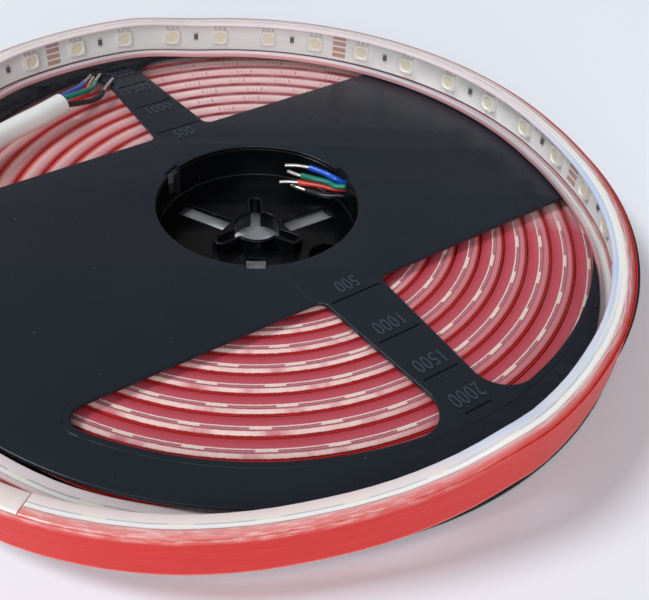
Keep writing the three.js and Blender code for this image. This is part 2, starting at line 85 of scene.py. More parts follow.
# Forms that only this script makes: softened edges, marks, figures and moulded lines.
PLATE_SOFT, WEB_SOFT, BOSS_SOFT, RING_SOFT = 0.4, 0.15, 0.25, 0.2
MARK_HW, MARK_DEPTH = 0.3, 0.4
FIGURE_SIZE, FIGURE_IN, FIGURE_NARROW = 5.9, 5.9, 0.7
FIGURE_RISE, FIGURE_SOFT, FIGURE_LIFT, FIGURE_SPACE = 0.2, 0.06, 0.02, 1.1
LINE_DEPTH, TRIM_W, ROOT_W, ROOT_X, ROOT_Y = 0.12, 0.35, 0.3, -11.3, 43.0
WEB_SLOT_IN, WEB_SLOT_OUT, WEB_SLOT_HW = 9.8, 25, 2.7
SUNK, RIM_SUNK, SLOT_BEFORE, SLOT_PAST, OVER = 0.2, 0.4, 1.5, 0.4, 1
SLEEVE_SOFT, CAP_SOFT, CORNER, LIP, LOW_FACE = 0.55, 0.9, 0.29, 0.56, 2.6
TAPE_SUNK, LINER_BANDS = 0.06, 6
WELL_R, WELL_FLOOR_R, WELL_DEPTH, CHIP_SOFT, CHIP_SIDES = 2.05, 1.75, 0.4, 0.15, 24
JOINT_SIZE, JOINT_DEPTH, JOINT_PITCH, JOINT_OUT = (0.9, 0.9), 0.22, 1.6, 0.45
PAD_SIZE, PAD_DEPTH, PAD_PITCH, PADS = (4.6, 1.5), 0.06, 2.1, 4
RESISTOR_SIZE, RESISTOR_DEPTH, END_SIZE, END_DEPTH, END_OUT = (1.3, 2.0), 0.5, (1.3, 0.7), 0.45, 1.25
JACKET_R, CORE_R, TIP_R, SHORTEST_CORD = 3.25, 0.85, 0.52, 30

# Lengths along the strip between which its look changes, the pitch of the chips that are seen from above,
# and places in the frame, in metres, between which the wound turns change.
WORN, PINKER, FRONT = (4850, 4895), (4830, 4885), (4780, 4835)
SEEN_PITCH, BEHIND, BESIDE, ASIDE = 15.7, (-0.003, 0.01), (0.026, 0.044), (-0.022, -0.04)

# ---------------- cords, mm from the axis and the top face
LEAD = [(-59.2, -96, -3.1), (-61, -94.9, -3.05), (-68, -90.9, -1.5), (-76.5, -84.6, 2.8), (-83.5, -75.8, 8),
        (-88, -65, 10.4), (-90, -53.5, 10.9), (-90.5, -42, 10), (-90, -30, 8), (-88.8, -18, 6),
        (-87, -6.5, 4.6), (-84.4, 4.5, 3.8), (-80.8, 15.3, 3.55), (-76.1, 25.4, 3.55),
        (-71.5, 31.7, 3.55), (-66.6, 37.7, 3.55), (-61.2, 45.2, 3.55)]
OUTER = {
    "blue": ([(-62.1, 46.6, 4.3), (-60.6, 50, 4.0), (-59, 54, 3.2), (-57.8, 58.5, 2.2), (-57.4, 62, 1.5)],
             [(-57.3, 62.4, 1.4), (-56.9, 65.2, 1.0), (-56, 68.5, 0.9)]),
    "green": ([(-60.2, 46.2, 5), (-57.4, 49.2, 4.6), (-54.8, 53, 3.8), (-53.4, 58, 2.6), (-53.6, 62.5, 1.6)],
              [(-53.65, 62.9, 1.5), (-53.6, 66, 1.1), (-53, 69.5, 0.9)]),
    "red": ([(-61, 46, 2.2), (-58.6, 49.4, 1.9), (-56, 53.8, 1.5), (-55.3, 58, 1.15), (-55.6, 61, 1.1)],
            [(-55.65, 61.4, 1.0), (-55.4, 64.5, 0.9), (-54.9, 67.5, 0.9)]),
    "black": ([(-59.7, 45, 3.2), (-56.2, 47.6, 2.4), (-52.6, 51, 1.6), (-50.8, 54.6, 1.2),
               (-50.4, 57.4, 1.15)],
              [(-50.35, 57.8, 1.1), (-49.6, 62, 1.0), (-48.4, 66.6, 0.9)]),
}
INNER = {
    "blue": ([(33.4, 9.5, -7.8), (32.1, 13, -6.8), (28.9, 15.3, -5), (25.4, 15.5, -4.1),
              (22.6, 15.2, -2.5), (20, 17, -2.1), (15.3, 20, -2)],
             [(14.9, 20.1, -2), (11.6, 20.9, -2), (8, 20.9, -2)]),
    "green": ([(31.6, 8.95, -7.8), (30.5, 11.8, -6.8), (28.3, 13.5, -5), (25, 13.6, -4.2),
               (22.8, 13.9, -4.3), (20.7, 15.1, -3.8), (16.1, 16.5, -3.5), (12.8, 17.9, -3.5)],
              [(12.4, 18, -3.5), (10.6, 18.7, -3.3), (8.8, 19.6, -3.1)]),
    "red": ([(33.4, 9.5, -10.2), (32.1, 13, -9.2), (28.9, 15.3, -7.3), (25.4, 15.4, -6.4),
             (22.6, 15.2, -6.1), (18.5, 16.2, -5.7), (12, 17.2, -5.4)],
            [(11.6, 17.2, -5.4), (9, 17.4, -5.4), (6.4, 17.2, -5.4)]),
    "black": ([(31.6, 8.95, -10.2), (30.5, 11.8, -9.4), (28.3, 13.5, -8), (25, 13.5, -7.4),
               (20, 13.4, -7.2), (14.2, 15.6, -7.1)],
              [(13.9, 15.8, -7.1), (12, 17, -7.1), (10.1, 18.3, -7.1)]),
}

# ---------------- camera
WIDTH_PX, TALL_PX, FOCAL_PX, CENTRE_PX, SENSOR = 649, 600, 904.94, (260.38, 293.75), 36
CAM_BACK, CAM_UP, CAM_DOWN, CAM_YAW, CAM_ROLL = 205.18, 146.65, 0.723, 0.007, 0.020


def new_object(name, data):
    obj = bpy.data.objects.new(name, data)
    scene.collection.objects.link(obj)
    return obj


ahead = Vector((math.sin(CAM_YAW) * math.cos(CAM_DOWN), math.cos(CAM_YAW) * math.cos(CAM_DOWN),
                -math.sin(CAM_DOWN)))
level = Vector((math.cos(CAM_YAW), -math.sin(CAM_YAW), 0))
above = level.cross(ahead)
right = math.cos(CAM_ROLL) * level + math.sin(CAM_ROLL) * above
up = -math.sin(CAM_ROLL) * level + math.cos(CAM_ROLL) * above
cam_data = bpy.data.cameras.new("camera")
cam = new_object("camera", cam_data)
turn = Matrix((right, up, -ahead)).transposed().to_4x4()
turn.translation = Vector((AXIS[0], AXIS[1] - CAM_BACK, HEIGHT + CAM_UP)) * MM
cam.matrix_world = turn
cam_data.sensor_width = SENSOR
cam_data.lens = FOCAL_PX / WIDTH_PX * SENSOR
cam_data.shift_x = (WIDTH_PX / 2 - CENTRE_PX[0]) / WIDTH_PX
cam_data.shift_y = (CENTRE_PX[1] - TALL_PX / 2) / WIDTH_PX
cam_data.clip_start = 0.01
scene.camera = cam


# ---------------- materials
class Nodes:
    """A material's node tree with short ways to add nodes."""

    def __init__(self, name, **values):
        self.mat = bpy.data.materials.new(name)
        self.mat.use_nodes = True
        self.tree = self.mat.node_tree
        self.bsdf = self.tree.nodes["Principled BSDF"]
        for key, value in values.items():
            self.bsdf.inputs[key.replace("_", " ")].default_value = value

    def add(self, kind, inputs=None, **props):
        node = self.tree.nodes.new(kind)
        for key, value in props.items():
            setattr(node, key, value)
        for key, value in (inputs or {}).items():
            if isinstance(value, bpy.types.NodeSocket):
                self.tree.links.new(value, node.inputs[key])
            else:
                node.inputs[key].default_value = value
        return node

    def place(self):
        return self.add("ShaderNodeTexCoord").outputs["Object"]

    def xyz(self, vector):
        return self.add("ShaderNodeSeparateXYZ", {"Vector": vector}).outputs

    def stretched(self, vector, scale):
        return self.add("ShaderNodeMapping", {"Vector": vector, "Scale": scale}).outputs["Vector"]

    def noise(self, scale, detail, vector=None):
        return self.add("ShaderNodeTexNoise", {
            "Vector": vector or self.place(), "Scale": scale, "Detail": detail}).outputs["Fac"]

    def math(self, operation, a, b=0.0):
        return self.add("ShaderNodeMath", {0: a, 1: b}, operation=operation).outputs[0]

    def times(self, a, b):
        return self.math("MULTIPLY", a, b)

    def rise(self, value, start, end):
        """0 where the value is at start, and 1 where it is at end."""
        return self.add("ShaderNodeMapRange", {
            "Value": value, "From Min": start, "From Max": end}).outputs["Result"]

    def beat(self, value, pitch):
        """How far the value is into a repeat of the pitch, from 0 to 1."""
        return self.math("FRACT", self.math("DIVIDE", value, pitch))

    def ramp(self, value, stops):
        """Levels, each as (place, level)."""
        return self.tones(value, [(at, (level,) * 3) for at, level in stops])

    def colours(self, value, stops):
        """Colours, each as (place, red, green, blue) of 255."""
        return self.tones(value, [(at, srgb(*rgb)) for at, *rgb in stops])

    def tones(self, value, stops):
        node = self.add("ShaderNodeValToRGB", {"Fac": value})
        elements = node.color_ramp.elements
        elements.remove(elements[-1])
        for i, (at, tone) in enumerate(stops):
            element = elements[0] if i == 0 else elements.new(at)
            element.position = at
            element.color = (*tone, 1)
        return node.outputs["Color"]

    def mix(self, fac, a, b):
        node = self.add("ShaderNodeMix", data_type="RGBA")
        for socket, value in ((node.inputs[0], fac), (node.inputs[6], a), (node.inputs[7], b)):
            if isinstance(value, bpy.types.NodeSocket):
                self.tree.links.new(value, socket)
            else:
                socket.default_value = (*value, 1) if isinstance(value, tuple) else value
        return node.outputs[2]

    def bump(self, height, strength, distance):
        node = self.add("ShaderNodeBump", {"Height": height, "Strength": strength, "Distance": distance})
        self.link(node.outputs["Normal"], "Normal")

    def link(self, output, name):
        self.tree.links.new(output, self.bsdf.inputs[name])

    def strip(self):
        """A place on the strip as a vector, in mm: X along its length, Y outwards and Z upwards."""
        return self.add("ShaderNodeAttribute", attribute_name="strip").outputs["Vector"]


def srgb(*rgb):
    """A colour of 255 steps as the linear light that a shader takes."""
    return tuple(c / 255 / 12.92 if c <= 10 else ((c / 255 + 0.055) / 1.055) ** 2.4 for c in rgb)


def plastic_black():
    """The reel: painted shade darkens the hub's hollow, and a painted highlight lightens the raised figures.
    """
    m = Nodes("reel_plastic", Roughness=0.3, Specular_IOR_Level=0.3)
    tone = m.mix(m.noise(28, 3), srgb(25, 30, 38), srgb(33, 38, 47))
    from_axis = m.add("ShaderNodeVectorMath", {
        0: m.stretched(m.place(), (1, 1, 0)), 1: (AXIS[0] * MM, AXIS[1] * MM, 0)}, operation="DISTANCE")
    # Painted shade: the hub's hollow, within the bore, is painted near black.
    hub_painted_shade = m.rise(from_axis.outputs["Value"], (BORE_R + 0.3) * MM, BORE_R * MM)
    tone = m.mix(hub_painted_shade, tone, srgb(7, 8, 11))
    # Painted highlight: the tops of the raised figures are painted lighter than the plate.
    figure_painted_highlight = m.rise(m.xyz(m.place())["Z"], (HEIGHT + 0.1) * MM, (HEIGHT + 0.2) * MM)
    tone = m.mix(figure_painted_highlight, tone, srgb(58, 64, 74))
    specks = m.ramp(m.noise(900, 1), [(0.78, 0), (0.8, 1)])
    m.link(m.mix(m.times(specks, 0.25), tone, srgb(150, 152, 156)), "Base Color")
    m.link(m.ramp(m.noise(160, 4), [(0.3, 0.24), (0.75, 0.33)]), "Roughness")
    m.bump(m.noise(2600, 2), 0.12, 0.00003)
    return m.mat


def sleeve_edge():
    """The wound turns' upper edges: a pink film with chips and the board's edge close under it."""
    m = Nodes("silicone_edge", Roughness=0.2, Coat_Weight=0.25, Coat_Roughness=0.1)
    place = m.strip()
    across = m.math("DIVIDE", m.xyz(place)["Y"], SLEEVE_T)
    beat = m.beat(m.xyz(place)["X"], SEEN_PITCH)
    wave = m.noise(0.35, 3, m.stretched(place, (0.3, 0, 0)))
    ragged = m.math("ADD", across, m.times(m.math("SUBTRACT", m.noise(1.4, 2, place), 0.5), 0.05))

    # Turns before the hub: raspberry over the next turn's liner, then chips, then the board's pale back.
    front = m.colours(ragged, [
        (0, 170, 36, 40), (0.05, 206, 70, 84), (0.25, 220, 88, 102), (0.42, 222, 98, 112),
        (0.49, 204, 102, 114), (0.51, 250, 214, 208), (0.55, 250, 214, 208),
        (0.57, 124, 62, 72), (0.6, 190, 116, 124), (0.66, 200, 124, 132),
        (0.7, 122, 60, 70), (0.74, 224, 160, 158), (0.78, 250, 220, 212),
        (0.94, 248, 214, 206), (0.97, 160, 60, 60), (1, 150, 24, 26),
    ])
    plain = m.colours(across, [(0, 214, 96, 108), (0.86, 206, 104, 116), (1, 170, 40, 44)])
    spot = m.xyz(m.place())
    beside = m.rise(spot["X"], *BESIDE)
    dim = m.math("MAXIMUM", m.ramp(wave, [(0.36, 0.8), (0.5, 0.15), (0.62, 0)]), m.times(beside, 0.85))
    faded = m.times(dim, m.ramp(across, [(0, 0), (0.7, 0), (0.74, 1), (1, 1)]))
    front = m.mix(faded, front, plain)
    block = m.ramp(beat, [(0, 0), (0.02, 1), (0.31, 1), (0.33, 0)])
    tops = m.times(block, m.ramp(ragged, [(0, 0), (0.5, 0), (0.52, 1), (0.65, 1), (0.67, 0)]))
    front = m.mix(m.times(tops, 0.85), front, srgb(250, 228, 212))

    # Turns behind the hub: the board's pale face, with the edges of its chips, and then the liner.
    back = m.colours(ragged, [
        (0, 140, 52, 58), (0.08, 160, 66, 72), (0.16, 232, 176, 176), (0.34, 240, 200, 198),
        (0.7, 244, 214, 208), (0.82, 228, 170, 166), (0.9, 160, 66, 70), (1, 140, 44, 50),
    ])
    stroke = m.ramp(beat, [
        (0, 1), (0.015, 1), (0.03, 0), (0.1, 0), (0.11, 0.8), (0.13, 0), (0.19, 0), (0.2, 0.8),
        (0.22, 0), (0.29, 0), (0.3, 1), (0.32, 1), (0.335, 0)])
    strokes = m.times(stroke, m.ramp(across, [(0, 0), (0.22, 0), (0.3, 1), (0.62, 1), (0.7, 0)]))
    back = m.mix(m.times(strokes, 0.75), back, srgb(150, 112, 102))
    back = m.mix(m.ramp(wave, [(0.4, 0.35), (0.6, 0)]), back, srgb(224, 168, 172))
    # Left of the hub the far turns get a broader red line and painted shade: the band is painted darker and
    # rosier there.
    rosy_painted_shade = m.colours(ragged, [
        (0, 196, 50, 46), (0.14, 190, 54, 52), (0.2, 206, 120, 122), (0.4, 214, 150, 150),
        (0.7, 222, 172, 168), (0.8, 206, 120, 118), (0.88, 196, 54, 50), (1, 200, 46, 42),
    ])
    back = m.mix(m.times(m.rise(spot["X"], *ASIDE), 0.8), back, rosy_painted_shade)

    behind = m.rise(spot["Y"], *BEHIND)
    m.link(m.mix(behind, front, back), "Base Color")
    clear = m.ramp(across, [(0, 0.9), (0.05, 0.72), (0.46, 0.72), (0.5, 0.95), (1, 1)])
    m.link(m.math("MAXIMUM", clear, m.times(behind, 0.85)), "Alpha")
    m.bump(m.noise(0.35, 2, place), 0.25, 0.0003)
    return m.mat


def sleeve_top():
    """The loose turn's upper edge: clear over the board's edge, with a painted reflection in pale blue on its
    inner part, and red where the liner shines through.
    """
    m = Nodes("silicone_top", Roughness=0.2, Coat_Weight=0.3, Coat_Roughness=0.1)
    place = m.strip()
    length = m.xyz(place)["X"]
    across = m.math("DIVIDE", m.xyz(place)["Y"], SLEEVE_T)
    sway = m.times(m.math("SUBTRACT", m.noise(0.5, 3, m.stretched(place, (0.22, 1, 1))), 0.5), 0.07)
    swayed = m.math("ADD", across, sway)
    loose = m.add("ShaderNodeAttribute", attribute_name="loose").outputs["Fac"]
    shines = m.math("SUBTRACT", loose, 1)
    pale = m.colours(swayed, [
        (0, 226, 206, 208), (0.1, 232, 216, 216), (0.4, 230, 218, 218),
        (0.44, 160, 152, 156), (0.47, 222, 218, 214), (0.52, 242, 240, 234),
        (0.62, 238, 234, 226), (0.66, 176, 160, 160), (0.69, 232, 214, 212),
        (0.82, 228, 204, 202), (0.88, 178, 70, 74), (1, 150, 40, 44),
    ])
    # The pale lavender-blue at the inner part of side and deep is a painted reflection; the red further out
    # is the liner seen through.
    side = m.colours(swayed, [
        (0, 222, 222, 232), (0.16, 214, 220, 232), (0.2, 170, 176, 190),
        (0.24, 232, 234, 238), (0.32, 246, 246, 242), (0.56, 240, 236, 230),
        (0.62, 206, 150, 152), (0.7, 188, 104, 106), (0.84, 190, 76, 76),
        (0.93, 150, 50, 54), (1, 140, 40, 44),
    ])
    deep = m.colours(swayed, [
        (0, 224, 226, 236), (0.1, 216, 224, 238), (0.3, 212, 220, 234),
        (0.4, 166, 172, 184), (0.43, 236, 238, 240), (0.47, 250, 250, 246),
        (0.6, 244, 240, 232), (0.64, 190, 160, 162), (0.68, 222, 170, 168),
        (0.78, 210, 116, 114), (0.88, 206, 84, 80), (1, 196, 64, 60),
    ])
    streak = m.ramp(m.noise(1, 4, m.stretched(place, (0.12, 3.0, 1))), [(0.42, 0), (0.6, 1)])
    streak = m.times(streak, m.ramp(across, [
        (0, 0), (0.2, 0.3), (0.4, 0.5), (0.66, 0.6), (0.78, 0.35), (0.9, 0)]))
    deep = m.mix(m.rise(length, *FRONT), side, deep)
    deep = m.mix(streak, deep, srgb(246, 240, 236))
    block = m.ramp(m.beat(length, PITCH), [(0, 0), (0.02, 1), (0.29, 1), (0.31, 0)])
    chip_zone = m.ramp(across, [(0, 0), (0.38, 0), (0.4, 1), (0.5, 1), (0.52, 0)])
    end = m.colours(swayed, [
        (0, 240, 218, 214), (0.4, 240, 226, 222), (0.44, 176, 174, 176),
        (0.47, 244, 242, 238), (0.6, 242, 238, 234), (0.64, 158, 126, 128),
        (0.68, 222, 150, 148), (0.84, 216, 104, 100), (1, 212, 76, 70),
    ])
    pinker = m.rise(length, *PINKER)
    deep = m.mix(pinker, deep, end)
    colour = m.mix(shines, pale, deep)
    colour = m.mix(m.times(m.times(block, chip_zone), 0.5), colour, srgb(250, 240, 214))
    # Patches of painted reflection in pale blue on the inner part of the edge.
    sky_reflection = m.times(m.ramp(m.noise(0.03, 2, place), [(0.45, 0), (0.6, 0.7)]),
                  m.ramp(across, [(0, 1), (0.26, 1), (0.3, 0)]))
    sky_reflection = m.times(sky_reflection, m.math("SUBTRACT", 1, pinker))
    colour = m.mix(m.times(sky_reflection, shines), colour, srgb(186, 206, 232))
    outer = m.ramp(across, [(0, 0), (0.62, 0), (0.68, 1), (1, 1)])
    zone = m.times(outer, m.rise(length, *WORN))
    colour = m.mix(m.times(zone, 0.55), colour, srgb(232, 152, 146))
    colour = m.mix(m.times(m.times(lifted_patches(m, place), zone), 0.55), colour, srgb(240, 212, 208))
    m.link(colour, "Base Color")
    m.bump(m.noise(0.35, 2, place), 0.25, 0.0003)
    return m.mat


def lifted_patches(m, place):
    """Patches in which the liner has lifted off the tape."""
    return m.ramp(m.noise(2.4, 3, m.stretched(place, (0.12, 0.8, 0.5))), [(0.44, 0), (0.66, 1)])


def sleeve_clear():
    m = Nodes("silicone_clear", Roughness=0.12, Alpha=0.11, Specular_IOR_Level=0.5)
    place = m.strip()
    m.link(m.mix(m.noise(0.05, 3, place), srgb(240, 238, 238), srgb(232, 214, 214)), "Base Color")
    m.bump(m.noise(0.2, 2, place), 0.3, 0.0004)
    return m.mat


def sleeve_low():
    """The sleeve's inner face below the board: pink low down where the liner shows through, then pale, with a
    painted highlight as a white line, then a grey-blue band.
    """
    m = Nodes("silicone_low", Roughness=0.18, Coat_Weight=0.4, Coat_Roughness=0.08)
    place = m.strip()
    # The white stop a little above the middle is a painted highlight line.
    tone = m.colours(m.math("DIVIDE", m.xyz(place)["Z"], 3.0), [
        (0, 216, 150, 150), (0.42, 224, 158, 158), (0.5, 238, 226, 224),
        (0.72, 246, 246, 246), (0.84, 190, 200, 214), (0.95, 214, 220, 226),
    ])
    m.link(m.mix(m.times(m.noise(0.08, 2, place), 0.4), tone, srgb(226, 200, 204)), "Base Color")
    m.bump(m.noise(0.2, 2, place), 0.2, 0.0003)
    return m.mat


def board_white():
    """The board's lacquer, with faint tracks under it."""
    m = Nodes("board_white", Roughness=0.42)
    place = m.strip()
    paint = m.mix(m.noise(0.12, 3, place), srgb(244, 244, 240), srgb(236, 238, 236))
    track = m.ramp(m.beat(m.xyz(place)["Z"], 2.45), [(0, 1), (0.06, 1), (0.1, 0), (0.9, 0), (0.94, 1)])
    m.link(m.mix(m.times(track, 0.1), paint, srgb(196, 200, 200)), "Base Color")
    m.bump(m.noise(1.2, 2, place), 0.1, 0.0001)
    return m.mat


def liner_red():
    """The liner, with a painted highlight along its lower edge, and worn along the upper one near the outer
    end.
    """
    m = Nodes("red_liner", Roughness=0.36, Specular_IOR_Level=0.25)
    place = m.strip()
    stretch = m.stretched(place, (0.25, 1, 1))
    base = m.mix(m.noise(0.35, 3, stretch), srgb(202, 30, 24), srgb(214, 48, 40))
    level = m.math("DIVIDE", m.xyz(place)["Z"], STRIP_H)
    top_zone = m.ramp(level, [(0, 0), (0.84, 0), (0.94, 0.8), (1, 1)])
    zone = m.times(top_zone, m.rise(m.xyz(place)["X"], *WORN))
    base = m.mix(m.times(zone, 0.6), base, srgb(234, 140, 132))
    base = m.mix(m.times(m.times(lifted_patches(m, place), zone), 0.6), base, srgb(246, 214, 206))
    # Painted highlight: a pale pink glow along the liner's lower edge.
    lower_edge_highlight = m.ramp(level, [(0, 1), (0.05, 1), (0.08, 0)])
    base = m.mix(m.times(lower_edge_highlight, 0.5), base, srgb(240, 150, 140))
    m.link(base, "Base Color")
    m.bump(m.noise(0.5, 3, stretch), 0.35, 0.0005)
    return m.mat


def tinned():
    m = Nodes("tinned_wire", Roughness=0.25, Metallic=0.85)
    m.link(m.mix(m.noise(900, 3), srgb(236, 232, 226), srgb(196, 190, 182)), "Base Color")
    m.link(m.ramp(m.noise(700, 2), [(0.3, 0.18), (0.8, 0.4)]), "Roughness")
    m.bump(m.noise(1800, 2), 0.4, 0.0001)
    return m.mat


def paint(name, a, b, scale, fine, depth=0.00005, strength=0.15, detail=3, **values):
    """A material between two close colours, with a fine grain."""
    m = Nodes(name, **values)
    m.link(m.mix(m.noise(scale, detail), srgb(*a), srgb(*b)), "Base Color")
    m.bump(m.noise(fine, 2), strength, depth)
    return m.mat


def insulation(colour, a, b):
    return paint(f"wire_{colour}", a, b, 420, 2500, 0.00004, 0.1, 2,
                 Roughness=0.25, Coat_Weight=0.4, Coat_Roughness=0.1)


def small_part(name, a, b, scale, roughness, metallic=0):
    return paint(name, a, b, scale, 4 * scale, strength=0.1, Roughness=roughness, Metallic=metallic)


REEL = plastic_black()
EDGE, TOP, CLEAR, LOW = sleeve_edge(), sleeve_top(), sleeve_clear(), sleeve_low()
BOARD, LINER, TIN = board_white(), liner_red(), tinned()
CAP = paint("cap_silicone", (240, 228, 222), (230, 210, 206), 260, 900, 0.0001,
            Roughness=0.3, Subsurface_Weight=0.3, Subsurface_Scale=0.002, Coat_Weight=0.2)
JACKET = paint("jacket_white", (240, 240, 236), (228, 228, 222), 120, 1500,
               Roughness=0.38, Coat_Weight=0.15, Coat_Roughness=0.2)
WIRES = {
    "blue": insulation("blue", (28, 92, 206), (22, 74, 180)),
    "green": insulation("green", (0, 128, 110), (0, 108, 92)),
    "red": insulation("red", (222, 68, 50), (200, 48, 36)),
    "black": insulation("black", (22, 22, 26), (34, 34, 38)),
}
CHIP_BODY = small_part("chip_body", (248, 246, 238), (240, 236, 226), 400, 0.35)
PHOSPHOR = small_part("chip_phosphor", (240, 232, 204), (232, 222, 188), 700, 0.2)
SOLDER = small_part("solder", (222, 222, 220), (196, 198, 198), 900, 0.35, 0.15)
RESISTOR = small_part("resistor_black", (34, 36, 38), (48, 50, 54), 800, 0.4)
COPPER = small_part("pad_copper", (206, 160, 142), (188, 140, 124), 500, 0.35, 0.15)


# ---------------- mesh helpers
def polar(r, az, z=0.0):
    a = math.radians(az)
    return (r * math.cos(a), r * math.sin(a), z)


def to_frame(p):
    return Vector(((p[0] + AXIS[0]) * MM, (p[1] + AXIS[1]) * MM, p[2] * MM))


def finish_piece(obj, slot, *nodes):
    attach(obj, "root")
    if nodes:
        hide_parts(*nodes)


def evaluated_mesh(obj):
    bpy.context.view_layer.update()
    return bpy.data.meshes.new_from_object(obj.evaluated_get(bpy.context.evaluated_depsgraph_get()))


def curve_mesh(curve, matrix):
    holder = new_object(curve.name, curve)
    mesh = evaluated_mesh(holder)
    bpy.data.objects.remove(holder)
    mesh.transform(matrix)
    return mesh


def face_outwards(mesh, merge=0.0):
    bm = bmesh.new()
    bm.from_mesh(mesh)
    if merge:
        bmesh.ops.remove_doubles(bm, verts=bm.verts, dist=merge)
    bmesh.ops.recalc_face_normals(bm, faces=bm.faces)
    bm.to_mesh(mesh)
    bm.free()


def shade(mesh, sharp):
    mesh.shade_smooth()
    mesh.set_sharp_from_angle(angle=math.radians(sharp))


def mesh_of(name, verts, faces, mats, face_mats=None):
    """A mesh from points in mm from the axis; face_mats has a material's number for each face."""
    mesh = bpy.data.meshes.new(name)
    mesh.from_pydata([to_frame(v) for v in verts], [], faces)
    for mat in mats:
        mesh.materials.append(mat)
    if face_mats:
        mesh.polygons.foreach_set("material_index", face_mats)
    mesh.update()
    return mesh


def mesh_object(name, verts, faces, mats=(), face_mats=None, sharp=30):
    mesh = mesh_of(name, verts, faces, mats, face_mats)
    face_outwards(mesh)
    shade(mesh, sharp)
    return new_object(name, mesh)


def ring_faces(rings, n, closed=False):
    """The faces between rings of n points each, which follow one another."""
    return [(s * n + i, s * n + (i + 1) % n, (s + 1) % rings * n + (i + 1) % n, (s + 1) % rings * n + i)
            for s in range(rings if closed else rings - 1) for i in range(n)]


def end_faces(rings, n):
    return [tuple(range(n - 1, -1, -1)), tuple(range((rings - 1) * n, rings * n))]


def arc(x, y, r, a, b, count):
    turns = [a + (b - a) * i / count for i in range(count + 1)]
    return [(x + r * math.cos(t), y + r * math.sin(t)) for t in turns]


def circle(r, count, x=0.0, y=0.0):
    return arc(x, y, r, 0, 2 * math.pi, count)[:-1]


def spin(points, az):
    c, s = math.cos(math.radians(az)), math.sin(math.radians(az))
    return [(c * x - s * y, s * x + c * y) for x, y in points]


def plate(name, outlines, low, high, bevel, steps=2):
    """A flat plate with rounded edges from closed outlines: the first is its outside, the rest are holes."""
    curve = bpy.data.curves.new(name, "CURVE")
    curve.dimensions = "2D"
    curve.fill_mode = "BOTH"
    for points in outlines:
        spline = curve.splines.new("POLY")
        spline.points.add(len(points) - 1)
        for point, (x, y) in zip(spline.points, points):
            point.co = (*to_frame((x, y, 0)), 1)
        spline.use_cyclic_u = True
    curve.extrude = ((high - low) / 2 - bevel) * MM
    curve.bevel_depth = bevel * MM
    curve.bevel_resolution = steps
    curve.offset = -bevel * MM
    mesh = curve_mesh(curve, Matrix.Translation((0, 0, (low + high) / 2 * MM)))
    face_outwards(mesh, merge=2e-6)
    return new_object(name, mesh)


def lathe(name, profile, count=120, x=0.0, y=0.0):
    """A closed profile of (radius, height) turned about an upright line."""
    turns = [2 * math.pi * i / count for i in range(count)]
    verts = [(x + r * math.cos(a), y + r * math.sin(a), z) for a in turns for r, z in profile]
    return mesh_object(name, verts, ring_faces(count, len(profile), closed=True))


def rounded(r0, r1, z0, z1):
    """A ring's section with softened corners."""
    c = RING_SOFT
    return [(r0 + c, z0), (r1 - c, z0), (r1, z0 + c), (r1, z1 - c),
            (r1 - c, z1), (r0 + c, z1), (r0, z1 - c), (r0, z0 + c)]


def block(az, start, end, width, low, high):
    """A cutter box that lies along an azimuth from start to end."""
    corners = spin([(start, -width / 2), (end, -width / 2), (end, width / 2), (start, width / 2)], az)
    verts = [(x, y, z) for z in (low, high) for x, y in corners]
    return mesh_object("cutter", verts, ring_faces(2, 4) + end_faces(2, 4))


def cut(obj, cutters):
    for cutter in cutters:
        mod = obj.modifiers.new("cut", "BOOLEAN")
        mod.operation = "DIFFERENCE"
        mod.solver = "EXACT"
        mod.object = cutter
    mesh = evaluated_mesh(obj)
    obj.modifiers.clear()
    obj.data = mesh
    for cutter in cutters:
        bpy.data.objects.remove(cutter)


def join(name, objects):
    """One piece of the reel from several closed forms."""
    bm = bmesh.new()
    for obj in objects:
        bm.from_mesh(obj.data)
        bpy.data.objects.remove(obj)
    mesh = bpy.data.meshes.new(name)
    bm.to_mesh(mesh)
    bm.free()
    mesh.materials.append(REEL)
    mesh.polygons.foreach_set("material_index", [0] * len(mesh.polygons))
    shade(mesh, 35)
    return new_object(name, mesh)


# ---------------- reel
def bar_corner():
    """The centre of a window's fillet between the bar and the ring, and its azimuth."""
    y = BAR_HW + BAR_FILLET
    x = math.sqrt((WINDOW_R - BAR_FILLET) ** 2 - y ** 2)
    return x, y, math.atan2(y, x)


def window_outline():
    """The window beside an arm, with the arm along +Y and the bar along X."""
    slope, edge = math.hypot(1, ARM_TAPER), math.atan(ARM_TAPER)
    arm = lambda y: ARM_HW - ARM_TAPER * (y - BAR_HW)
    inner_y = BAR_HW + INNER_FILLET
    inner_x = arm(inner_y) + INNER_FILLET * slope
    bar_x, bar_y, a = bar_corner()
    reach = WINDOW_R - ARM_FILLET
    outer_y = reach
    for _ in range(20):
        outer_x = arm(outer_y) + ARM_FILLET * slope
        outer_y = math.sqrt(reach ** 2 - outer_x ** 2)
    b, side = math.atan2(outer_y, outer_x), math.pi + edge
    return (arc(inner_x, inner_y, INNER_FILLET, side, 1.5 * math.pi, 8)
            + arc(bar_x, bar_y, BAR_FILLET, -math.pi / 2, a, 12)
            + arc(0, 0, WINDOW_R, a, b, 40)[1:-1] + arc(outer_x, outer_y, ARM_FILLET, b, side, 20))


def groove(points, width, depth, face):
    """A cutter for a V-shaped groove along an open line of points."""
    verts = []
    for i, (x, y) in enumerate(points):
        ax, ay = points[max(i - 1, 0)]
        bx, by = points[min(i + 1, len(points) - 1)]
        size = math.hypot(bx - ax, by - ay)
        nx, ny = (by - ay) / size * width / 2, (ax - bx) / size * width / 2
        verts += [(x, y, face - depth), (x + nx, y + ny, face), (x + nx, y + ny, face + OVER),
                  (x - nx, y - ny, face + OVER), (x - nx, y - ny, face)]
    return mesh_object("cutter", verts, ring_faces(len(points), 5) + end_faces(len(points), 5))


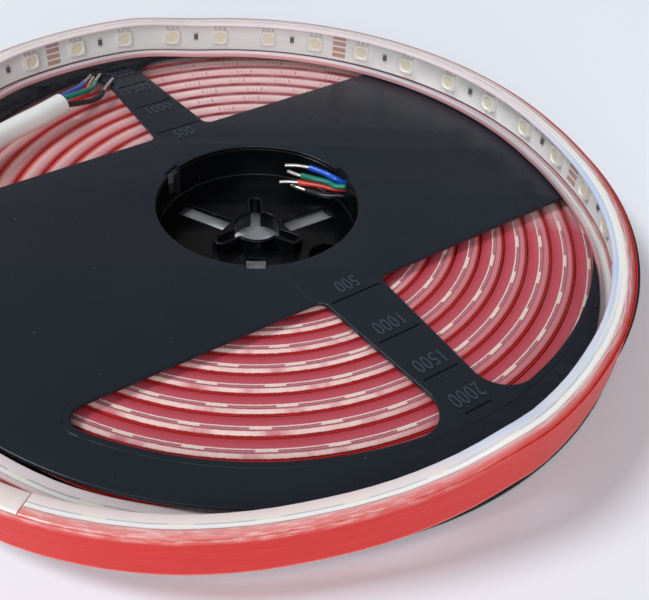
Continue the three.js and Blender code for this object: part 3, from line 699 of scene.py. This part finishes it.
def trim_line():
    """The line that runs outside a pair of windows and turns in round their corners at the bar."""
    bar_x, bar_y, a = bar_corner()
    corner = arc(bar_x, bar_y, BAR_FILLET + TRIM, -0.4 * math.pi, a, 16)
    mirrored = [(-x, y) for x, y in corner[::-1]]
    return corner + arc(0, 0, WINDOW_R + TRIM, a, math.pi - a, 150)[1:-1] + mirrored


def flange(name, rim, low, top_face):
    """A flange's plate and the cutters of the marks in its outer face."""
    outlines = [circle(rim, 240), circle(BORE_R, 144)]
    for sx, sy in ((1, 1), (-1, 1), (-1, -1), (1, -1)):
        outlines.append(spin([(sx * x, sy * y) for x, y in window_outline()], BAR_AZ))
    high = low + PLATE
    body = plate(name, outlines, low, high, PLATE_SOFT, 3)
    a, b = (high - MARK_DEPTH, high + OVER) if top_face else (low - OVER, low + MARK_DEPTH)
    marks = [block(BAR_AZ + side, at - MARK_HW, at + MARK_HW, length, a, b)
             for side in (90, -90) for at, length, _ in MARKS]
    return body, marks


def digits(face):
    """Raised length figures beside the marks, read from outside."""
    made = []
    for side in (90, -90):
        for distance, _, text in MARKS:
            curve = bpy.data.curves.new("figure", "FONT")
            curve.body = text
            curve.size = FIGURE_SIZE * MM
            curve.align_x = "CENTER"
            curve.extrude = FIGURE_RISE * MM
            curve.bevel_depth = FIGURE_SOFT * MM
            curve.space_character = FIGURE_SPACE
            az = BAR_AZ + side
            spot = to_frame(polar(distance - FIGURE_IN, az, face + FIGURE_LIFT))
            matrix = Matrix.Translation(spot) @ Matrix.Rotation(math.radians(az - 90), 4, "Z")
            mesh = curve_mesh(curve, matrix @ Matrix.Diagonal((FIGURE_NARROW, 1, 1, 1)))
            made.append(new_object("figure", mesh))
    return made


def keyed(r, hw, reach):
    """A round outline with three round-ended keyways."""
    points = []
    half = math.degrees(math.asin(hw / r))
    for i, az in enumerate(KEYS):
        key = arc(reach, 0, hw, -math.pi / 2, math.pi / 2, 12)
        root = r * math.cos(math.radians(half))
        points += spin([(root, -hw)] + key + [(root, hw)], az)
        following = KEYS[(i + 1) % 3] + (360 if i == 2 else 0)
        span = following - half - (az + half)
        points += [polar(r, az + half + span * k / 24)[:2] for k in range(1, 24)]
    return points


def slot_blocks(low, high, outside):
    """Cutters of the wires' slots through the hub's wall."""
    return [block(az, BORE_R - SLOT_BEFORE, outside, SLOT_W, low, high) for az in SLOTS]


body, cutters = flange("flange_top", RIM_R, HEIGHT - PLATE, True)
# A line runs outside each pair of windows, and a fine one beside each arm's root.
cutters += [groove(spin(trim_line(), BAR_AZ + side), TRIM_W, LINE_DEPTH, HEIGHT) for side in (0, 180)]
cutters.append(groove(spin([(ROOT_X, -ROOT_Y), (ROOT_X, ROOT_Y)], BAR_AZ), ROOT_W, LINE_DEPTH, HEIGHT))
cut(body, cutters + slot_blocks(0, HEIGHT + OVER, BORE_R + WALL + SLOT_PAST))
wall = lathe("wall", rounded(BORE_R, BORE_R + WALL, SEAM, HEIGHT - PLATE + SUNK))
cut(wall, slot_blocks(SEAM - OVER, HEIGHT + OVER, BORE_R + WALL + SLOT_PAST))
finish_piece(join("reel_top", [body, wall] + digits(HEIGHT)), "reel_plastic", "top_reel_half")

web_top = HEIGHT - WEB_DEPTH
web_low = web_top - WEB_T
boss_top = web_top + BOSS_RISE
low_plate, cutters = flange("flange_low", RIM_R - RIM_STEP, 0, False)
cut(low_plate, cutters)
pocket = polar(POCKET_AT, POCKET_AZ)[:2]
web_holes = [circle(POCKET_R, 48, *pocket), keyed(ARBOR_R, KEY_HW, KEY_REACH)]
for az in SLOTS:
    web_holes.append(spin([(WEB_SLOT_IN, -WEB_SLOT_HW), (WEB_SLOT_OUT, -WEB_SLOT_HW),
                           (WEB_SLOT_OUT, WEB_SLOT_HW), (WEB_SLOT_IN, WEB_SLOT_HW)], az))
web = plate("web", [circle(BORE_R + RIM_SUNK, 144)] + web_holes, web_low, web_top, WEB_SOFT)
boss = plate("boss", [keyed(ARBOR_R + WALL, KEY_HW + WALL, KEY_REACH), keyed(ARBOR_R, KEY_HW, KEY_REACH)],
             web_low, boss_top, BOSS_SOFT)
floor_z = web_top - POCKET_D
cup_r, cup_low, cup_top = POCKET_R + POCKET_WALL, floor_z - POCKET_WALL, web_low + SUNK
cup = lathe("cup", [(0.01, cup_low), (cup_r, cup_low), (cup_r, cup_top), (POCKET_R, cup_top),
                    (POCKET_R, floor_z), (0.01, floor_z)], 48, *pocket)
wall_low = lathe("wall_low", rounded(BORE_R, COLLAR_R, PLATE / 2, SEAM - FIT))
collar = lathe("collar", rounded(COLLAR_R - WALL, COLLAR_R, SEAM - FIT - WALL, HEIGHT - PLATE - COLLAR_SHORT))
cut(collar, slot_blocks(SEAM - FIT, HEIGHT, COLLAR_R + OVER))
reel_bottom = join("reel_bottom", [low_plate, web, boss, cup, wall_low, collar])
finish_piece(reel_bottom, "reel_plastic", "bottom_reel_half")


# ---------------- strip
Station = namedtuple("Station", "az radius low length turned")


def along(table, at):
    """A smooth curve through the rows of a table, which doesn't rise past them."""
    last = len(table) - 1

    def secant(i):
        return (table[i + 1][1] - table[i][1]) / (table[i + 1][0] - table[i][0])

    def slope(i):
        if i in (0, last):
            return secant(min(i, last - 1))
        a, b = secant(i - 1), secant(i)
        return 0 if a * b <= 0 else 2 * a * b / (a + b)

    i = 0
    while i < last - 1 and at > table[i + 1][0]:
        i += 1
    span = table[i + 1][0] - table[i][0]
    t = (at - table[i][0]) / span
    rest = 1 - t
    return (table[i][1] * (1 + 2 * t) * rest * rest + table[i + 1][1] * t * t * (3 - 2 * t)
            + span * (slope(i) * t * rest * rest - slope(i + 1) * t * t * rest))


def strip_at(turned):
    """Azimuth, radius and lower edge of the sleeve's inner face."""
    swing = turned - WOUND
    az = -turned
    if swing <= 0:
        return az, START_R + WOUND_PITCH * turned / 360, REST
    if swing < LOOP_FROM:
        radius = RIM_R + along(LEAVING, swing)
    elif swing > LOOP_TO:
        radius = RIM_R + along(RETURNING, swing)
    else:
        ox, oy, _ = polar(1, az)
        ahead, aside = LOOP_X * ox + LOOP_Y * oy, LOOP_X * oy - LOOP_Y * ox
        radius = ahead + math.sqrt(LOOP_R ** 2 - aside ** 2)
    return az, radius, REST + (TOP_SEAT - REST) * along(LIFTING, swing)


def stations(start, end, step):
    """Stations at even steps, with the board's length from the first one."""
    count = max(2, math.ceil((end - start) / step))
    made, length, before = [], 0.0, None
    for i in range(count + 1):
        turned = start + (end - start) * i / count
        az, r, z = strip_at(turned)
        here = Vector(polar(r + BOARD_NEAR, az, z))
        if before is not None:
            length += (here - before).length
        before = here
        made.append(Station(az, r, z, length, turned))
    return made


def sweep(name, rows, section, mats, mat_of=None, loose=None):
    """Sweeps a closed section of (out, up) points. mat_of gives a face's material from its two points."""
    verts, strip_data, loose_data = [], [], []
    for row in rows:
        for out, high in section:
            verts.append(polar(row.radius + out, row.az, row.low + high))
            strip_data += (row.length, out, high)
            loose_data.append(loose(row.turned) if loose else 0)
    sides = [mat_of(a, b) if mat_of else 0 for a, b in zip(section, section[1:] + section[:1])]
    faces = ring_faces(len(rows), len(section)) + end_faces(len(rows), len(section))
    mesh = mesh_of(name, verts, faces, mats, sides * (len(rows) - 1) + [0, 0])
    mesh.attributes.new("strip", "FLOAT_VECTOR", "POINT").data.foreach_set("vector", strip_data)
    mesh.attributes.new("loose", "FLOAT", "POINT").data.foreach_set("value", loose_data)
    shade(mesh, 40)
    return new_object(name, mesh)


def sleeve_section():
    """The sleeve's outline with rounded corners, from the inner face's lower end round by the top."""
    t, h, c = SLEEVE_T, STRIP_H, SLEEVE_SOFT
    k = CORNER * c
    return [(0, c), (0, LOW_FACE), (0, h - c), (k, h - k), (c, h), (t * 0.42, h), (t * 0.56, h), (t - c, h),
            (t - k, h - k), (t, h - c), (t, c), (t - k, k), (t - c, 0), (c, 0), (k, k)]


def cap_section():
    t, h, c = SLEEVE_T, STRIP_H, CAP_SOFT
    k = CORNER * c
    return [(0, c), (0, h - c), (k, h - k), (c, h), (t - c, h), (t - k, h - k),
            (t, h - c), (t, c), (t - k, k), (t - c, 0), (c, 0), (k, k)]


def coil_material(a, b):
    """The wound sleeve's upper edge, or clear."""
    return 0 if min(a[1], b[1]) > STRIP_H - LIP else 1


def loose_material(a, b):
    """The loose sleeve's upper edge and outside, its clear inner face, or the pale face below the board."""
    inner_face = a[0] == 0 and b[0] == 0
    if inner_face and a[1] >= LOW_FACE:
        return 1
    return 2 if inner_face or (a[1] < LIP and a[0] < 0.6) else 0


def shine(turned):
    """1 where the loose turn's edge looks pale all over, rising to 2 where the liner shines through it."""
    return 1 + min(1, max(0, (turned - WOUND - SHINE_FROM) / SHINE_TURN))


strip_end = WOUND + SLEEVE_END
outer_turn = math.degrees(OUTER_CAP / (RIM_R + along(RETURNING, SLEEVE_END)))
inner_turn = math.degrees(INNER_CAP / (START_R + SLEEVE_T / 2))
rows_all = stations(0, strip_end, TURN_STEP)
split = min(range(len(rows_all)), key=lambda i: abs(rows_all[i].turned - WOUND - LOOSE_FROM))

coil = sweep("strip_coil", rows_all[:split + 1], sleeve_section(), [EDGE, CLEAR], coil_material)
finish_piece(coil, "clear_silicone", "strip_sleeve")
loose = sweep("strip_loose", rows_all[split:], sleeve_section(), [TOP, CLEAR, LOW], loose_material, shine)
finish_piece(loose, "clear_silicone", "strip_sleeve")

board = sweep("strip_board_visible", rows_all,
              [(BOARD_NEAR, BOARD_LOW), (BOARD_NEAR, 6), (BOARD_NEAR, BOARD_HIGH),
               (BOARD_FAR, BOARD_HIGH), (BOARD_FAR, BOARD_LOW)], [BOARD])
finish_piece(board, "board_white", "strip_board")

near, far = SLEEVE_T + TAPE_GAP - TAPE_SUNK, SLEEVE_T + TAPE_GAP - TAPE_SUNK + TAPE_T
bands = [STRIP_H - TAPE_EDGE - (STRIP_H - 2 * TAPE_EDGE) * k / LINER_BANDS for k in range(LINER_BANDS + 1)]
tape = sweep("strip_liner", stations(0, strip_end + outer_turn, TURN_STEP),
             [(near, TAPE_EDGE), (near, bands[0])] + [(far, z) for z in bands], [LINER])
finish_piece(tape, "red_liner", "strip_tape")


# ---------------- board's parts
def board_point(length):
    """Point on the board's near face at mid height, with the directions along, outward and up."""
    for a, b in zip(rows_all, rows_all[1:]):
        if a.length <= length <= b.length:
            p, q = (Vector(polar(r.radius + BOARD_NEAR, r.az, r.low + STRIP_H / 2)) for r in (a, b))
            ahead = (q - p).normalized()
            outward = Vector((0, 0, 1)).cross(ahead).normalized()
            share = (length - a.length) / (b.length - a.length)
            return p.lerp(q, share), ahead, outward, ahead.cross(outward)


def length_at(swing):
    turned = WOUND + swing
    for a, b in zip(rows_all, rows_all[1:]):
        if a.turned <= turned <= b.turned:
            return a.length + (b.length - a.length) * (turned - a.turned) / (b.turned - a.turned)


class Parts:
    """Small soldered parts gathered into one mesh, each placed on the board."""

    def __init__(self):
        self.verts, self.faces, self.mats = [], [], []

    def add(self, verts, faces, mats):
        base = len(self.verts)
        self.verts += verts
        self.faces += [tuple(base + i for i in face) for face in faces]
        self.mats += mats

    def box(self, spot, along_x, up_z, size, depth, mat, lift, soft):
        """A block that stands off the board's near face, with a softened front."""
        p, ahead, outward, high = spot
        w, h = size[0] / 2, size[1] / 2
        verts = [p + ahead * (along_x + sx * (w - inset)) + high * (up_z + sz * (h - inset)) - outward * d
                 for d, inset in ((lift, 0), (lift + depth - soft, 0), (lift + depth, soft))
                 for sx, sz in ((-1, -1), (1, -1), (1, 1), (-1, 1))]
        self.add(verts, ring_faces(3, 4) + end_faces(3, 4), [mat] * 10)

    def chip(self, spot):
        """A square package with a round well of phosphor."""
        p, ahead, outward, high = spot
        n, half, verts = CHIP_SIDES, CHIP / 2, []
        square = [(half, 0), (half, CHIP_DEPTH - CHIP_SOFT), (half - CHIP_SOFT, CHIP_DEPTH)]
        well = [(WELL_R, CHIP_DEPTH), (WELL_FLOOR_R, CHIP_DEPTH - WELL_DEPTH),
                (0.01, CHIP_DEPTH - 0.9 * WELL_DEPTH)]
        for ring, (reach, d) in enumerate(square + well):
            for i in range(n):
                a = 2 * math.pi * (i + 0.5) / n
                c, s = math.cos(a), math.sin(a)
                r = reach / max(abs(c), abs(s)) if ring < len(square) else reach
                verts.append(p + ahead * (r * c) + high * (r * s) - outward * d)
        self.add(verts, ring_faces(6, n), [0] * 4 * n + [1] * n)

    def make(self, name, mats):
        return mesh_object(name, self.verts, self.faces, mats, self.mats, 35)


chips, extras = Parts(), Parts()
first, end_length = length_at(FIRST_CHIP), rows_all[-1].length
k = -math.floor((first - length_at(CHIPS_FROM)) / PITCH)
while first + k * PITCH < end_length - PITCH / 2:
    spot = board_point(first + k * PITCH)
    chips.chip(spot)
    for side in (-1, 1):
        for j in (-1, 0, 1):
            extras.box(spot, j * JOINT_PITCH, side * (CHIP / 2 + JOINT_OUT),
                       JOINT_SIZE, JOINT_DEPTH, 0, 0, 0.06)
    spot = board_point(first + (k + 0.5) * PITCH)
    if k % 6 == 0:
        for j in range(PADS):
            extras.box(spot, 0, (j - (PADS - 1) / 2) * PAD_PITCH, PAD_SIZE, PAD_DEPTH, 1, 0, 0.02)
    elif k % 2 == 1:
        extras.box(spot, 0, 0, RESISTOR_SIZE, RESISTOR_DEPTH, 2, 0.05, 0.1)
        for side in (-1, 1):
            extras.box(spot, 0, side * END_OUT, END_SIZE, END_DEPTH, 0, 0, 0.15)
    k += 1
finish_piece(chips.make("light_chips", [CHIP_BODY, PHOSPHOR]), "board_white")
finish_piece(extras.make("board_parts", [SOLDER, COPPER, RESISTOR]), "board_white")

# ---------------- end caps
outer_rows = stations(strip_end + outer_turn * JOINT / OUTER_CAP, strip_end + outer_turn, CAP_STEP)
finish_piece(sweep("outer_cap", outer_rows, cap_section(), [CAP]), "cap_silicone", "outer_end_cap")

inner_rows = []
for i in range(INNER_STEPS + 1):
    turned = -inner_turn + (inner_turn - inner_turn * JOINT / INNER_CAP) * i / INNER_STEPS
    inner_rows.append(Station(*strip_at(turned), 0.0, turned))
finish_piece(sweep("inner_cap", inner_rows, cap_section(), [CAP]), "cap_silicone", "inner_end_cap")


# ---------------- cords
def smooth_path(rows, spacing):
    """Centripetal Catmull-Rom through points that are given from the top face, at about the spacing."""
    pts = [Vector((x, y, HEIGHT + z)) for x, y, z in rows]
    pts = [2 * pts[0] - pts[1]] + pts + [2 * pts[-1] - pts[-2]]
    out = []
    for p0, p1, p2, p3 in zip(pts, pts[1:], pts[2:], pts[3:]):
        t0 = 0.0
        t1 = t0 + (p1 - p0).length ** 0.5
        t2 = t1 + (p2 - p1).length ** 0.5
        t3 = t2 + (p3 - p2).length ** 0.5
        count = max(1, math.ceil((p2 - p1).length / spacing))
        for j in range(count):
            t = t1 + (t2 - t1) * j / count
            a1 = (t1 - t) / (t1 - t0) * p0 + (t - t0) / (t1 - t0) * p1
            a2 = (t2 - t) / (t2 - t1) * p1 + (t - t1) / (t2 - t1) * p2
            a3 = (t3 - t) / (t3 - t2) * p2 + (t - t2) / (t3 - t2) * p3
            b1 = (t2 - t) / (t2 - t0) * a1 + (t - t0) / (t2 - t0) * a2
            b2 = (t3 - t) / (t3 - t1) * a2 + (t - t1) / (t3 - t1) * a3
            out.append((t2 - t) / (t2 - t1) * b1 + (t - t1) / (t2 - t1) * b2)
    return out + [pts[-2]]


def path_length(points):
    return sum((b - a).length for a, b in zip(points, points[1:]))


def tube(name, path, radii, mats, sides=16, twist=0.0, lobes=0.0, split_at=None):
    """A closed tube along a path, with a radius for each point and its second material from split_at on."""
    verts, side, rings = [], None, len(path)
    for i, p in enumerate(path):
        tangent = (path[min(i + 1, rings - 1)] - path[max(i - 1, 0)]).normalized()
        if side is None:
            side = tangent.cross(Vector((0, 0, 1))).normalized()
        side = (side - tangent * side.dot(tangent)).normalized()
        other = tangent.cross(side)
        for k in range(sides):
            a = 2 * math.pi * k / sides
            r = radii[i] * (1 + lobes * math.cos(3 * (a + twist * i)))
            verts.append(p + side * (r * math.cos(a)) + other * (r * math.sin(a)))
    first = rings - 1 if split_at is None else split_at
    face_mats = [0] * (first * sides) + [1] * ((rings - 1 - first) * sides)
    faces = ring_faces(rings, sides) + [tuple(range(sides)), tuple(range((rings - 1) * sides, rings * sides))]
    return mesh_object(name, verts, faces, mats, face_mats + [0, face_mats[-1]], 40)


def with_soft_ends(path, radius, soft):
    """A tube's path and radii with close points at both ends that soften them."""
    first_step, last_step = (path[1] - path[0]).normalized(), (path[-1] - path[-2]).normalized()
    points = [path[0], path[0] + first_step * soft] + path[1:-1] + [path[-1] - last_step * soft, path[-1]]
    return points, [radius - soft, radius] + [radius] * (len(path) - 2) + [radius, radius - soft]


lead_path = smooth_path(LEAD, 2.0)
lead = tube("lead", *with_soft_ends(lead_path, JACKET_R, 0.25), [JACKET], sides=32)
finish_piece(lead, "jacket_white", "lead_jacket")
lead_extras = []
for colour, (rows, tip_rows) in OUTER.items():
    core = tube(f"lead_core_{colour}", *with_soft_ends(smooth_path(rows, 0.8), CORE_R, 0.1), [WIRES[colour]])
    finish_piece(core, f"wire_{colour}", f"outer_core_{colour}")
    tip = tube(f"lead_tip_{colour}", *with_soft_ends(smooth_path(tip_rows, 0.4), TIP_R, 0.2), [TIN],
               twist=0.35, lobes=0.08)
    finish_piece(tip, "tinned_wire", f"outer_tip_{colour}")
    lead_extras += [core, tip]
lead_line = [to_frame(p) for p in lead_path]
path_length(lead_path) * MM

inner_wires = []
for colour, (rows, tip_rows) in INNER.items():
    core_path, tip_path = smooth_path(rows, 0.8), smooth_path(tip_rows, 0.4)
    points, radii = with_soft_ends(core_path, CORE_R, 0.12)
    points.append(core_path[-1] + (core_path[-1] - core_path[-2]).normalized() * 0.01)
    edge = len(points) - 2
    points += tip_path[:-1] + [tip_path[-1] - (tip_path[-1] - tip_path[-2]).normalized() * 0.15, tip_path[-1]]
    radii += [0.5] + [TIP_R] * len(tip_path) + [0.3]
    wire = tube(f"inner_wire_{colour}", points, radii, [WIRES[colour], TIN], split_at=edge)
    finish_piece(wire, f"wire_{colour}", f"inner_core_{colour}", f"inner_tip_{colour}")
    inner_wires.append((wire, core_path + tip_path))
# A cord is declared from 30 mm up: the shorter wires of the bundle go with the longest one.
inner_wires.sort(key=lambda w: -path_length(w[1]))
short = [w for w, full in inner_wires if path_length(full) < SHORTEST_CORD]
for i, (wire, full) in enumerate(inner_wires[:len(inner_wires) - len(short)]):
    path_length(full) * MM

# ---------------- stage and light
floor_mesh = bpy.data.meshes.new("floor")
floor_mesh.from_pydata([(-3, -3, 0), (3, -3, 0), (3, 5, 0), (-3, 5, 0)], [], [(0, 1, 2, 3)])
floor = new_object("floor", floor_mesh)
paint = Nodes("floor_white", Roughness=0.6)
paint.link(paint.mix(paint.noise(3, 2), srgb(242, 244, 248), srgb(239, 241, 246)), "Base Color")
floor_mesh.materials.append(paint.mat)

world = bpy.data.worlds.new("world")
scene.world = world
world.use_nodes = True
background = world.node_tree.nodes["Background"]
background.inputs["Color"].default_value = (1.0, 0.975, 0.97, 1)
background.inputs["Strength"].default_value = 0.24


def lamp(name, source, power, softness, colour):
    """A soft distant lamp that shines from the direction of source."""
    data = bpy.data.lights.new(name, "SUN")
    data.energy = power
    data.angle = math.radians(softness)
    data.color = colour
    new_object(name, data).rotation_euler = (-Vector(source)).to_track_quat("-Z", "Y").to_euler()


lamp("key", source=(-1.0, -0.1, 1.3), power=1.7, softness=18, colour=(0.95, 1.0, 1.07))
lamp("fill", source=(-0.1, -1.0, 0.6), power=1.75, softness=50, colour=(0.97, 1.0, 1.04))

scene.view_settings.view_transform = "Standard"
